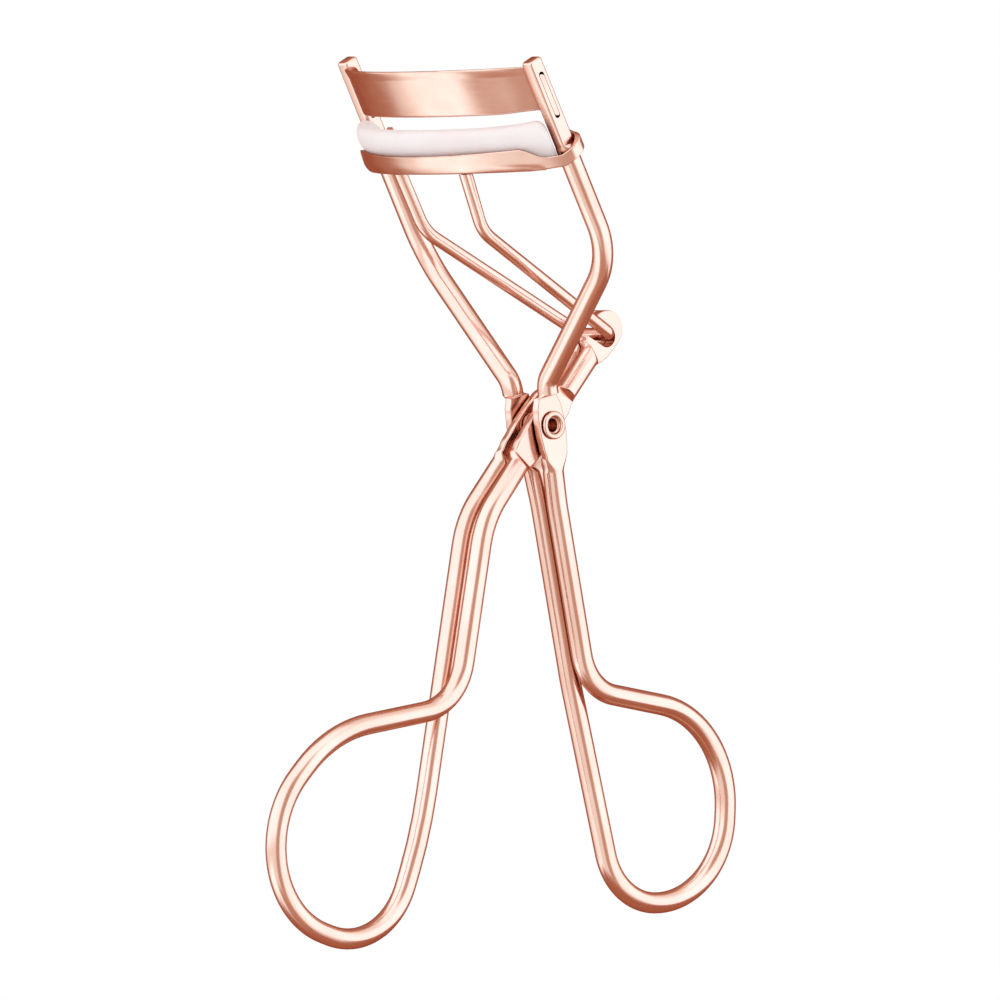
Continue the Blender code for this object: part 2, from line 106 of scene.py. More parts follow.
def add_node(tree, kind, sockets=None, **settings):
    """A node with its settings. A socket takes a value, or the output socket that feeds it."""
    made = tree.nodes.new(kind)
    for name, value in settings.items():
        setattr(made, name, value)
    for key, value in (sockets or {}).items():
        if isinstance(value, bpy.types.NodeSocket):
            tree.links.new(value, made.inputs[key])
        else:
            made.inputs[key].default_value = value
    return made


def new_finish(name):
    """A material that has no nodes yet, and its node tree."""
    made = bpy.data.materials.new(name)
    made.use_nodes = True
    made.node_tree.nodes.clear()
    return made, made.node_tree


def looked_at(tree):
    """1 for a ray from the camera, off a mirror or through a clear piece, and 0 for any other."""
    ray = add_node(tree, "ShaderNodeLightPath").outputs
    either = add_node(tree, "ShaderNodeMath", {0: ray["Is Camera Ray"], 1: ray["Is Glossy Ray"]},
                      operation="ADD")
    return add_node(tree, "ShaderNodeMath", {0: either.outputs[0], 1: ray["Is Transmission Ray"]},
                    operation="ADD", use_clamp=True).outputs[0]


room = bpy.data.worlds.new("white_room")
room.use_nodes = True
bpy.context.scene.world = room
nodes = room.node_tree
nodes.nodes.clear()
ROOM_LIGHT = 0.84
dim = add_node(nodes, "ShaderNodeBackground", {"Color": linear("#FFFFFF"), "Strength": ROOM_LIGHT})
white = add_node(nodes, "ShaderNodeBackground", {"Color": linear("#FFFFFF"), "Strength": 1.0})
seen = add_node(nodes, "ShaderNodeMixShader", {0: looked_at(nodes), 1: dim.outputs[0], 2: white.outputs[0]})
add_node(nodes, "ShaderNodeOutputWorld", {0: seen.outputs[0]})

SOFT_LAMPS = [("right_lamp", 0.5, 0.25, 0.35, 0.8), ("left_lamp", -0.45, 0.45, 0.3, 0.9)]
LAMP_SIZE = 0.5
for name, beside, forward, up, watts in SOFT_LAMPS:
    lamp = bpy.data.lights.new(name, "AREA")
    lamp.size = LAMP_SIZE
    lamp.energy = watts
    lit = put(name, lamp)
    lit.location = VIEW_AIM + right_of_camera * beside + towards_camera * forward + Vector((0, 0, up))
    aim(lit, VIEW_AIM - lit.location)
    lit.visible_glossy = False


def hang(name, columns, code, strength):
    """A glowing sheet over columns of (point, share), that only reflections see. It fades out at share 0."""
    work = bmesh.new()
    inside_layer = work.verts.layers.float.new("inside")
    rows = []
    for column in columns:
        rows.append([work.verts.new(point) for point, _ in column])
        for vert, (_, share) in zip(rows[-1], column):
            vert[inside_layer] = min(share, 1)
    for row, following in zip(rows, rows[1:]):
        for j in range(len(row) - 1):
            work.faces.new((row[j], following[j], following[j + 1], row[j + 1]))
    mesh = bpy.data.meshes.new(name)
    work.to_mesh(mesh)
    work.free()
    cover, tree = new_finish(name)
    cover.cycles.emission_sampling = "NONE"
    within = add_node(tree, "ShaderNodeAttribute", attribute_name="inside").outputs["Fac"]
    faded = add_node(tree, "ShaderNodeMapRange", {"Value": within}, interpolation_type="SMOOTHSTEP")
    clear = add_node(tree, "ShaderNodeBsdfTransparent")
    glow = add_node(tree, "ShaderNodeEmission", {"Color": linear(code), "Strength": strength})
    sheet = add_node(tree, "ShaderNodeMixShader",
                     {0: faded.outputs[0], 1: clear.outputs[0], 2: glow.outputs[0]})
    add_node(tree, "ShaderNodeOutputMaterial", {0: sheet.outputs[0]})
    mesh.materials.append(cover)
    screen = put(name, mesh)
    for kind in ("camera", "diffuse", "transmission", "volume_scatter", "shadow"):
        setattr(screen, "visible_" + kind, False)


SCREEN_RADIUS = 0.9
SCREEN_STEP = 3.0
SOFT_EDGE = 9.0
SCREENS = [("rose_cloth", -6, 38, -52, 48, 9, "#9A8076", 1.9),
           ("brown_cloth", 114, 246, -52, 78, 9, "#91695A", 1.8),
           ("left_paper", -116, -4, -12, 70, 9, "#EAF3FF", 1.7),
           ("right_paper", 34, 120, -50, 52, 30, "#ECF4FF", 1.7),
           ("low_left_card", -108, -44, -74, -20, 9, "#EFF6FF", 1.68),
           ("low_rose_cloth", -46, 256, -90, -42, 9, "#A17B6B", 1.65),
           ("top_paper", -100, 70, 36, 90, 9, "#EFF6FF", 1.6)]
for name, first, last, low, high, soft, code, strength in SCREENS:
    across = math.ceil((last - first) / SCREEN_STEP)
    upward = math.ceil((high - low) / SCREEN_STEP)
    columns = []
    for i in range(across + 1):
        bearing = first + (last - first) * i / across
        turn = math.radians(bearing)
        out = towards_camera * math.cos(turn) + right_of_camera * math.sin(turn)
        columns.append([])
        for j in range(upward + 1):
            lift = low + (high - low) * j / upward
            spot = out * math.cos(math.radians(lift)) + Vector((0, 0, math.sin(math.radians(lift))))
            sideways = min(bearing - first, last - bearing) / SOFT_EDGE
            upright = min(lift - low, high - lift) / soft
            columns[-1].append((VIEW_AIM + spot * SCREEN_RADIUS, min(sideways, upright)))
    hang(name, columns, code, strength)

BOARD_LEFT = -0.09
BOARD_RIGHT = 0.19
BOARD_BACK = -0.17
BOARD_FRONT = 0.055
BOARD_DROP = 0.1
BOARD_STEPS = 28
BOARD_EDGE = 0.045
BOARD_COLOUR = "#935F4B"
BOARD_GLOW = 1.5
columns = []
for i in range(BOARD_STEPS + 1):
    beside = BOARD_LEFT + (BOARD_RIGHT - BOARD_LEFT) * i / BOARD_STEPS
    columns.append([])
    for j in range(BOARD_STEPS + 1):
        forward = BOARD_BACK + (BOARD_FRONT - BOARD_BACK) * j / BOARD_STEPS
        edge = min(beside - BOARD_LEFT, BOARD_RIGHT - beside, forward - BOARD_BACK, BOARD_FRONT - forward)
        spot = VIEW_AIM + right_of_camera * beside + towards_camera * forward - Vector((0, 0, BOARD_DROP))
        columns[-1].append((spot, edge / BOARD_EDGE))
hang("brown_board", columns, BOARD_COLOUR, BOARD_GLOW)

FLOOR_RADIUS = 0.048
FLOOR_SIDES = 96
FADE_START = 0.034
FADE_END = FLOOR_RADIUS * 0.95
PAPER_GLOW = 0.5
SWING_ROOM = 0.0034
floor_middle = Vector((0, VIEW_AIM.y, cad_box[0].z - SWING_ROOM))
floor_work = bmesh.new()
rim = []
for i in range(FLOOR_SIDES):
    turn = math.tau * i / FLOOR_SIDES
    outward = Vector((math.cos(turn), math.sin(turn), 0))
    rim.append(floor_work.verts.new(floor_middle + outward * FLOOR_RADIUS))
floor_work.faces.new(rim)
floor_mesh = bpy.data.meshes.new("white_floor")
floor_work.to_mesh(floor_mesh)
floor_work.free()
floor = put("white_floor", floor_mesh)
paper, nodes = new_finish("white_paper_sheet")
where = add_node(nodes, "ShaderNodeTexCoord").outputs["Object"]
from_middle = add_node(nodes, "ShaderNodeVectorMath", {0: where, 1: floor_middle}, operation="DISTANCE")
fade = add_node(nodes, "ShaderNodeMapRange", {"Value": from_middle.outputs["Value"], "From Min": FADE_START,
                                              "From Max": FADE_END, "To Min": PAPER_GLOW})
whiter = add_node(nodes, "ShaderNodeMath", {0: looked_at(nodes), 1: fade.outputs[0]}, operation="MULTIPLY")
matt = add_node(nodes, "ShaderNodeBsdfDiffuse", {"Color": linear("#F7F6F5")})
glow = add_node(nodes, "ShaderNodeEmission", {"Color": linear("#FFFFFF"), "Strength": 1.0})
mixed = add_node(nodes, "ShaderNodeMixShader",
                 {0: whiter.outputs[0], 1: matt.outputs[0], 2: glow.outputs[0]})
add_node(nodes, "ShaderNodeOutputMaterial", {0: mixed.outputs[0]})
floor_mesh.materials.append(paper)
floor.visible_glossy = False


# Frame: one length of 2.5 mm steel wire, plated and polished. Its ends are pressed to slotted rectangular
# rails, and it is bent in through two arms to the pivot, coined flat there as ears and looped for the thumb.
PIVOT = Vector((0, -0.0203, 0.0446))
WIRE_R = 1.25
RAIL_X = 16.7
RAIL_LEAN = math.radians(27.8)
RAIL_TOP_Z = 43.0
RAIL_FOOT_Z = 33.2
RAIL_SECTION = (1.05, 0.85, 0.42)
RAIL_END = ((0, 0.78), (0.06, 0.88), (0.17, 0.95), (0.35, 1.0))
RAIL_SHOULDER = 0.6
KNEE = Vector((RAIL_X, -2.86, 19.9))
KNEE_BEND = 10.0
ARM_X = 3.2
ARM_END = Vector((ARM_X, -1.08, 5.0))
ARM_END_BEND = 3.0
ARM_FOOT = 3.75
PIVOT_BORE_R = 1.35
EAR_HALF_WIDTH = 2.05
EAR_HALF_THICK = 0.55
FRAME_EAR_X = 2.5
FRAME_LEAN = math.radians(-12.3)
FRAME_STRAND_X = 1.45
FRAME_EAR_MARKS = ((3.45, 1.5), (2.1, 1.92), (0.8, EAR_HALF_WIDTH), (-0.8, EAR_HALF_WIDTH), (-2.4, 1.9),
                   (-3.6, 1.68))
FRAME_STRAND_TOP = (-5.6, 1.75)
FRAME_SETTLE = (1, 2.02, -9.28, 20.0)
FRAME_LOOP = [(-1, 6.6, -30.3, 60.0), (-0.7, 13.2, -56.2, 7.5), (-0.3, 29.1, -56.2, 10.0),
              (0.6, 29.1, -34.5, 12.5), (1, 6.75, -31.1, 6.0)]
UP_RAIL = Vector((0, -math.sin(RAIL_LEAN), math.cos(RAIL_LEAN)))
MIRROR_X = Vector((-1, 1, 1))
ROUND = (WIRE_R, WIRE_R, WIRE_R)


def place(point):
    """A point in millimetres round the pivot, in the frame's metres."""
    return PIVOT + Vector(point) * 0.001


def bent_path(corners, step=math.radians(4)):
    """Places and headings along a wire bent round corners. Each corner is a point and its bend radius."""
    path = []
    last = len(corners) - 1
    for i, (point, radius) in enumerate(corners):
        arriving = (point - corners[i - 1][0]).normalized() if i > 0 else None
        leaving = (corners[i + 1][0] - point).normalized() if i < last else None
        if arriving is None or leaving is None:
            path.append((point, leaving or arriving))
            continue
        turn = arriving.angle(leaving)
        centre = point + (leaving - arriving).normalized() * (radius / math.cos(turn / 2))
        axis = arriving.cross(leaving).normalized()
        spoke = point - arriving * (radius * math.tan(turn / 2)) - centre
        steps = max(3, math.ceil(turn / step))
        for k in range(steps + 1):
            part = Matrix.Rotation(turn * k / steps, 3, axis)
            path.append((centre + part @ spoke, part @ arriving))
    return path


def rail_point(z):
    """The middle of the right rail at a height."""
    return Vector((RAIL_X, KNEE.y - (z - KNEE.z) * math.tan(RAIL_LEAN), z))


def side_line(lean, along, x):
    """A point on a straight line through the pivot, leaning back from the vertical by an angle."""
    return Vector((x, along * math.sin(lean), along * math.cos(lean)))


def smooth(t):
    """0 to 1 as t goes from 0 to 1, leaving and arriving level."""
    t = min(max(t, 0), 1)
    return t * t * (3 - 2 * t)


def round_stations(corners):
    """Stations, which are a point, a heading and a section, along a wire that keeps its round section."""
    return [(point, heading, ROUND) for point, heading in bent_path(corners)]


def ear_stations(lean, x, marks):
    """Stations of a coined ear. Each mark is a place along its line and the half width there."""
    heading = -side_line(lean, 1, 0)
    corner = EAR_HALF_THICK * 0.5
    return [(side_line(lean, along, x), heading, (half, EAR_HALF_THICK, corner)) for along, half in marks]


def other_side(stations):
    return [(point * MIRROR_X, heading * MIRROR_X, section) for point, heading, section in stations]


def backwards(stations):
    return [(point, -heading, section) for point, heading, section in reversed(stations)]


def handle_stations(strand_x, top, bend, loop):
    """Both strands and the finger loop, from the ear on one side to the ear on the other."""
    share, y, z, radius = bend
    middle = [(-share, y, z, radius), *loop, bend]
    corners = [(top * MIRROR_X, 0)]
    corners += [(Vector((share * strand_x, y, z)), radius) for share, y, z, radius in middle]
    corners += [(top, 0)]
    return round_stations(corners)


def eased(stations, steps=8, shortest=0.5):
    """Puts steps between stations where the press left a soft shoulder from one section to the next."""
    made = [stations[0]]
    for before, after in zip(stations, stations[1:]):
        if before[2] != after[2] and (after[0] - before[0]).length > shortest:
            for k in range(1, steps):
                t = k / steps
                section = tuple(a + (b - a) * smooth(t) for a, b in zip(before[2], after[2]))
                heading = before[1].lerp(after[1], t).normalized()
                made.append((before[0].lerp(after[0], t), heading, section))
        made.append(after)
    return made


def shape_tree(name, takes, gives):
    """A node tree for shapes, with the sockets that it takes, by kind, and the geometry that it gives."""
    tree = bpy.data.node_groups.new(name, "GeometryNodeTree")
    for label, kind in takes.items():
        tree.interface.new_socket(label, in_out="INPUT", socket_type="NodeSocket" + kind)
    tree.interface.new_socket(gives, in_out="OUTPUT", socket_type="NodeSocketGeometry")
    return tree


def set_inputs(modifier, values):
    """Sets a shape tree's inputs by name."""
    for item in modifier.node_group.interface.items_tree:
        if item.name in values:
            modifier[item.identifier] = values[item.name]


def wire_tree():
    """Node tree that sweeps a section along a wire's line. The line's points carry the section's sizes."""
    start_turn = 0.06
    tree = shape_tree("bent_wire_stock", {"Line": "Geometry", "Sides round the wire": "Int",
                                          "Flattened across": "Vector", "Finish": "Material"}, "Wire")
    given = add_node(tree, "NodeGroupInput").outputs
    line = add_node(tree, "GeometryNodeMeshToCurve", {"Mesh": given["Line"]})
    ring = add_node(tree, "GeometryNodeCurvePrimitiveCircle", {"Resolution": given["Sides round the wire"]})
    along_ring = add_node(tree, "GeometryNodeSplineParameter").outputs["Factor"]
    angle = add_node(tree, "ShaderNodeMath", {0: along_ring, 1: math.tau, 2: start_turn},
                     operation="MULTIPLY_ADD")
    marked = add_node(tree, "GeometryNodeStoreNamedAttribute",
                      {"Geometry": ring.outputs["Curve"], "Name": "turn", "Value": angle.outputs[0]},
                      data_type="FLOAT", domain="POINT")
    tube = add_node(tree, "GeometryNodeCurveToMesh",
                    {"Curve": line.outputs["Curve"], "Profile Curve": marked.outputs["Geometry"],
                     "Fill Caps": True})
    read = {}
    for name, kind in (("centre", "FLOAT_VECTOR"), ("heading", "FLOAT_VECTOR"), ("section", "FLOAT_VECTOR"),
                       ("along", "FLOAT"), ("turn", "FLOAT")):
        stored = add_node(tree, "GeometryNodeInputNamedAttribute", {"Name": name}, data_type=kind)
        read[name] = stored.outputs[0]
    across = given["Flattened across"]
    lean = add_node(tree, "ShaderNodeVectorMath", {0: across, 1: read["heading"]}, operation="PROJECT")
    square = add_node(tree, "ShaderNodeVectorMath", {0: across, 1: lean.outputs[0]}, operation="SUBTRACT")
    thin = add_node(tree, "ShaderNodeVectorMath", {0: square.outputs[0]}, operation="NORMALIZE")
    wide = add_node(tree, "ShaderNodeVectorMath", {0: read["heading"], 1: thin.outputs[0]},
                    operation="CROSS_PRODUCT")
    sizes = add_node(tree, "ShaderNodeSeparateXYZ", {0: read["section"]}).outputs
    place_on_ring = []
    rolled = []
    for wave, half, axis in (("COSINE", sizes[0], wide), ("SINE", sizes[1], thin)):
        swing = add_node(tree, "ShaderNodeMath", {0: read["turn"]}, operation=wave)
        side = add_node(tree, "ShaderNodeMath", {0: swing.outputs[0]}, operation="SIGN")
        flat = add_node(tree, "ShaderNodeMath", {0: half, 1: sizes[2]}, operation="SUBTRACT")
        straight = add_node(tree, "ShaderNodeMath", {0: side.outputs[0], 1: flat.outputs[0]},
                            operation="MULTIPLY")
        reach = add_node(tree, "ShaderNodeMath", {0: swing.outputs[0], 1: sizes[2], 2: straight.outputs[0]},
                         operation="MULTIPLY_ADD")
        part = add_node(tree, "ShaderNodeVectorMath", {0: axis.outputs[0], "Scale": reach.outputs[0]},
                        operation="SCALE")
        place_on_ring.append(part.outputs[0])
        rolled.append(swing.outputs[0])
    off = add_node(tree, "ShaderNodeVectorMath", dict(enumerate(place_on_ring)), operation="ADD")
    point = add_node(tree, "ShaderNodeVectorMath", {0: read["centre"], 1: off.outputs[0]}, operation="ADD")
    shaped = add_node(tree, "GeometryNodeSetPosition",
                      {"Geometry": tube.outputs["Mesh"], "Position": point.outputs[0]})
    grain = add_node(tree, "ShaderNodeCombineXYZ", {0: rolled[0], 1: rolled[1], 2: read["along"]})
    noted = add_node(tree, "GeometryNodeStoreNamedAttribute",
                     {"Geometry": shaped.outputs["Geometry"], "Name": "draw_direction",
                      "Value": grain.outputs[0]},
                     data_type="FLOAT_VECTOR", domain="POINT")
    smooth = add_node(tree, "GeometryNodeSetShadeSmooth", {"Geometry": noted.outputs["Geometry"]})
    real = add_node(tree, "GeometryNodeRealizeInstances", {"Geometry": smooth.outputs["Geometry"]})
    plated = add_node(tree, "GeometryNodeSetMaterial",
                      {"Geometry": real.outputs["Geometry"], "Material": given["Finish"]})
    add_node(tree, "NodeGroupOutput", {0: plated.outputs["Geometry"]})
    return tree


def settle(obj):
    """Turns what the modifiers make into the object's own plain mesh."""
    graph = bpy.context.evaluated_depsgraph_get()
    made = bpy.data.meshes.new_from_object(obj.evaluated_get(graph))
    obj.modifiers.clear()
    obj.data = made


def facing_out(obj, crease=math.radians(38)):
    """Merges doubles, turns every face outwards and keeps the creases of cut edges sharp."""
    work = bmesh.new()
    work.from_mesh(obj.data)
    bmesh.ops.remove_doubles(work, verts=work.verts, dist=1e-7)
    bmesh.ops.recalc_face_normals(work, faces=work.faces)
    work.to_mesh(obj.data)
    work.free()
    obj.data.shade_smooth()
    obj.data.set_sharp_from_angle(angle=crease)


bent_wire_stock = wire_tree()


def bend_wire(name, stations, finish, sides=48, across=(1, 0, 0)):
    """A wire along its stations, as an object with a plain mesh."""
    mesh = bpy.data.meshes.new(name)
    points = [place(point) for point, _, _ in stations]
    mesh.from_pydata(points, [(i, i + 1) for i in range(len(points) - 1)], [])
    run = [0.0]
    for before, after in zip(points, points[1:]):
        run.append(run[-1] + (after - before).length * 1000)
    values = {
        "centre": ("FLOAT_VECTOR", "vector", [c for p in points for c in p]),
        "heading": ("FLOAT_VECTOR", "vector", [c for _, heading, _ in stations for c in heading]),
        "section": ("FLOAT_VECTOR", "vector", [c * 0.001 for _, _, section in stations for c in section]),
        "along": ("FLOAT", "value", run),
    }
    for key, (kind, slot, numbers) in values.items():
        mesh.attributes.new(key, kind, "POINT").data.foreach_set(slot, numbers)
    wire = put(name, mesh)
    stock = wire.modifiers.new("stock", "NODES")
    stock.node_group = bent_wire_stock
    set_inputs(stock, {"Sides round the wire": sides, "Flattened across": across, "Finish": finish})
    settle(wire)
    return wire


def cut(obj, cutters):
    """Cuts closed shapes out of a piece, and deletes them."""
    for cutter in cutters:
        modifier = obj.modifiers.new("cut", "BOOLEAN")
        modifier.operation = "DIFFERENCE"
        modifier.solver = "EXACT"
        modifier.object = cutter
    settle(obj)
    for cutter in cutters:
        bpy.data.objects.remove(cutter, do_unlink=True)


def prism(name, outline, reach):
    """A closed shape with an outline in millimetres round the pivot, carried along a vector both ways."""
    work = bmesh.new()
    rows = [[work.verts.new(place(Vector(p) + Vector(reach) * side)) for p in outline] for side in (-1, 1)]
    for i in range(len(outline)):
        j = (i + 1) % len(outline)
        work.faces.new((rows[0][i], rows[0][j], rows[1][j], rows[1][i]))
    work.faces.new(rows[0])
    work.faces.new(rows[1])
    bmesh.ops.recalc_face_normals(work, faces=work.faces)
    mesh = bpy.data.meshes.new(name)
    work.to_mesh(mesh)
    work.free()
    return put(name, mesh)


def pivot_bore(sides=48, reach=6):
    """Cutter for the rivets' hole through all four ears."""
    turns = [math.tau * k / sides for k in range(sides)]
    outline = [(0, PIVOT_BORE_R * math.cos(turn), PIVOT_BORE_R * math.sin(turn)) for turn in turns]
    return prism("pivot_bore", outline, (reach, 0, 0))


def two_tones(nodes, share, first, second):
    """A colour that drifts between two close tones, as a noise texture gives the share of each."""
    tone = add_node(nodes, "ShaderNodeValToRGB", {0: share})
    for element, position, code in zip(tone.color_ramp.elements, (0.35, 0.65), (first, second)):
        element.position = position
        element.color = linear(code)
    return tone.outputs[0]


def plate(nodes, tone, noise, shine, normal):
    """Rose-gold plating with painted shade, brown where an occlusion test finds surfaces close by, in
    creases and between pieces, and browner at glancing angles. Shine is its roughness range.
    """
    painted_shade_reach = 0.0015
    rough = add_node(nodes, "ShaderNodeMapRange", {0: noise, 1: 0.3, 2: 0.7, 3: shine[0], 4: shine[1]})
    # Painted shade: the occlusion test below darkens the plating towards brown #A05A3C in creases and where
    # pieces lie close.
    crease = add_node(nodes, "ShaderNodeAmbientOcclusion", {"Distance": painted_shade_reach}, samples=8)
    unshaded_share = add_node(nodes, "ShaderNodeMapRange",
                          {"Value": crease.outputs["AO"], "From Min": 0.15, "From Max": 0.7})
    tone_with_painted_shade = add_node(nodes, "ShaderNodeMix", {0: unshaded_share.outputs[0], 6: linear("#A05A3C"), 7: tone},
                      data_type="RGBA")
    plating = add_node(nodes, "ShaderNodeBsdfPrincipled",
                       {"Base Color": tone_with_painted_shade.outputs[2], "Metallic": 1.0, "Roughness": rough.outputs[0],
                        "Specular Tint": linear("#D29A82"), "Normal": normal})
    add_node(nodes, "ShaderNodeOutputMaterial", {0: plating.outputs[0]})


# The wire's finish: drawing leaves faint lines along it, and polishing softens them, so a reflection breaks
# into long soft streaks with a slow wave along the wire.
DRAW_LINE_MM = 0.30
DRAW_LENGTH_MM = 9.0
WAVE_WIDTH_MM = WIRE_R / 0.6
WAVE_LENGTH_MM = 7.0
drawn_wire, nodes = new_finish("rose_gold_plated_drawn_wire")
direction = add_node(nodes, "ShaderNodeAttribute", attribute_name="draw_direction").outputs["Vector"]
noises = []
for width, length, detail in ((DRAW_LINE_MM, DRAW_LENGTH_MM, 3.0), (WAVE_WIDTH_MM, WAVE_LENGTH_MM, 1.0)):
    stretched = add_node(nodes, "ShaderNodeMapping",
                         {"Vector": direction, "Scale": (WIRE_R / width, WIRE_R / width, 1 / length)})
    noises.append(add_node(nodes, "ShaderNodeTexNoise",
                           {"Vector": stretched.outputs[0], "Scale": 1.0, "Detail": detail}).outputs["Fac"])
draw, wave = noises
ripple = add_node(nodes, "ShaderNodeBump", {"Height": wave, "Strength": 0.05, "Distance": 0.0006})
scratch = add_node(nodes, "ShaderNodeBump",
                   {"Height": draw, "Strength": 0.01, "Distance": 0.0001, "Normal": ripple.outputs[0]})
plate(nodes, two_tones(nodes, wave, "#EFC6B3", "#F4D0BF"), draw, (0.17, 0.20), scratch.outputs[0])

side = [(rail_point(RAIL_TOP_Z - down), -UP_RAIL, tuple(size * share for size in RAIL_SECTION))
        for down, share in (*RAIL_END, (RAIL_TOP_Z - RAIL_FOOT_Z, 1.0))]
side += round_stations([(rail_point(RAIL_FOOT_Z - RAIL_SHOULDER), 0), (KNEE, KNEE_BEND),
                        (ARM_END, ARM_END_BEND), (side_line(FRAME_LEAN, ARM_FOOT, ARM_X), 0)])
side += ear_stations(FRAME_LEAN, FRAME_EAR_X, FRAME_EAR_MARKS)
strand_top = side_line(FRAME_LEAN, *FRAME_STRAND_TOP)
handle = handle_stations(FRAME_STRAND_X, strand_top, FRAME_SETTLE, FRAME_LOOP)
bent_frame = bend_wire("bent_frame", eased(other_side(side) + handle + backwards(side)), drawn_wire)

UPPER_BOTTOM_Z = 36.8
SLOT_SIDES = 16
SLOT_REACH = 2
SLOT_HALF_WIDTH = 0.4
SLOT_HALF_HEIGHT = 3.05
SLOT_MIDDLE = 2.35
slot_middle = rail_point(UPPER_BOTTOM_Z) + UP_RAIL * SLOT_MIDDLE
square_to_rail = Vector((0, math.cos(RAIL_LEAN), math.sin(RAIL_LEAN)))
slot_outline = []
for k in range(SLOT_SIDES):
    turn = math.tau * (k + 0.5) / SLOT_SIDES
    straight = math.copysign(SLOT_HALF_HEIGHT - SLOT_HALF_WIDTH, math.sin(turn))
    tall = straight + SLOT_HALF_WIDTH * math.sin(turn)
    slot_outline.append(slot_middle + UP_RAIL * tall + square_to_rail * (SLOT_HALF_WIDTH * math.cos(turn)))
slots = [prism("slot_cutter", [point * Vector((sign, 1, 1)) for point in slot_outline], (SLOT_REACH, 0, 0))
         for sign in (-1, 1)]
cut(bent_frame, [pivot_bore(), *slots])
facing_out(bent_frame)
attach(bent_frame, "frame")
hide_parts("frame_wire")


# Upper bar: a strip of plated steel, blanked, curved to the eyelid and polished. Its narrower end tabs pass
# through the rails' slots and are dressed flush outside, and its edges are tumbled round.
BOW = 8.7
RISE = 0.07
UPPER_HEIGHT = 6.1
UPPER_THICK = 0.8
UPPER_EDGE = 0.7
UPPER_CHORD = 15.6
TAB_THICK = 0.74
TAB_HEIGHT = 5.4
TAB_LEAD = 0.35
TAPER_START = 11.5
TAPER_RISE = 0.35
LIP_OUT = 0.22
LIP_DEPTHS = (1.25, 1.1, 0.7)


def jaw_point(x, bow, bottom_z, up, lift=0.0):
    """A point of the jaw: across, forward of the rails, and up along them."""
    z = bottom_z - RISE * bow + lift
    return Vector((x, rail_point(z).y - bow, z)) + UP_RAIL * up


def arc_bow(radius, x):
    """How far forward of the rails an arc with the jaw's full bow lies at x."""
    return math.sqrt(radius * radius - x * x) - radius + BOW


def skin(name, rings, finish):
    """An object with a tube of quads over rings of points, closed at both ends."""
    work = bmesh.new()
    rows = [[work.verts.new(place(point)) for point in ring] for ring in rings]
    for row, following in zip(rows, rows[1:]):
        for i in range(len(row)):
            j = (i + 1) % len(row)
            work.faces.new((row[i], row[j], following[j], following[i]))
    work.faces.new(rows[0])
    work.faces.new(rows[-1][::-1])
    mesh = bpy.data.meshes.new(name)
    work.to_mesh(mesh)
    work.free()
    mesh.materials.append(finish)
    return put(name, mesh)


def strip_path(places):
    """Adds the outward normal, in plan, to each (x, bow) of a strip."""
    path = []
    for i, (x, bow) in enumerate(places):
        before = places[max(i - 1, 0)]
        after = places[min(i + 1, len(places) - 1)]
        run = Vector((after[0] - before[0], after[1] - before[1])).normalized()
        path.append((x, bow, -run.y, run.x))
    return path


def rounded_section(low, high, half, edge, levels, steps=5):
    """A strip's section as (outward, up), with rounded edges, and points on both faces at some levels."""
    made = []
    for off, up, start in ((half - edge, low + edge, -90), (half - edge, high - edge, 0),
                           (-half + edge, high - edge, 90), (-half + edge, low + edge, 180)):
        for k in range(steps):
            turn = math.radians(start + 90 * k / (steps - 1))
            made.append((off + edge * math.cos(turn), up + edge * math.sin(turn)))
        if start == -90:
            made += [(half, level) for level in levels]
        if start == 90:
            made += [(-half, level) for level in reversed(levels)]
    return made


# The strip's finish: a rolled and tumbled surface mirrors softly, with a slight orange-peel ripple a few
# millimetres long and hair lines too fine to count.
PEEL_MM = 3.2
HAIR_MM = 0.35
HAIR_STRETCH = (0.12, 0.12, 1.0)
pressed_strip, nodes = new_finish("rose_gold_plated_pressed_strip")
where = add_node(nodes, "ShaderNodeTexCoord").outputs["Object"]
peel = add_node(nodes, "ShaderNodeTexNoise",
                {"Vector": where, "Scale": 1000 / PEEL_MM, "Detail": 1.5}).outputs["Fac"]
stretched = add_node(nodes, "ShaderNodeMapping", {"Vector": where, "Scale": HAIR_STRETCH})
hair = add_node(nodes, "ShaderNodeTexNoise",
                {"Vector": stretched.outputs[0], "Scale": 1000 / HAIR_MM, "Detail": 2.0}).outputs["Fac"]
ripple = add_node(nodes, "ShaderNodeBump", {"Height": peel, "Strength": 0.012, "Distance": 0.0005})
scratch = add_node(nodes, "ShaderNodeBump",
                   {"Height": hair, "Strength": 0.006, "Distance": 0.0001, "Normal": ripple.outputs[0]})
plate(nodes, two_tones(nodes, peel, "#EDC3AF", "#F3CEBC"), hair, (0.21, 0.25), scratch.outputs[0])

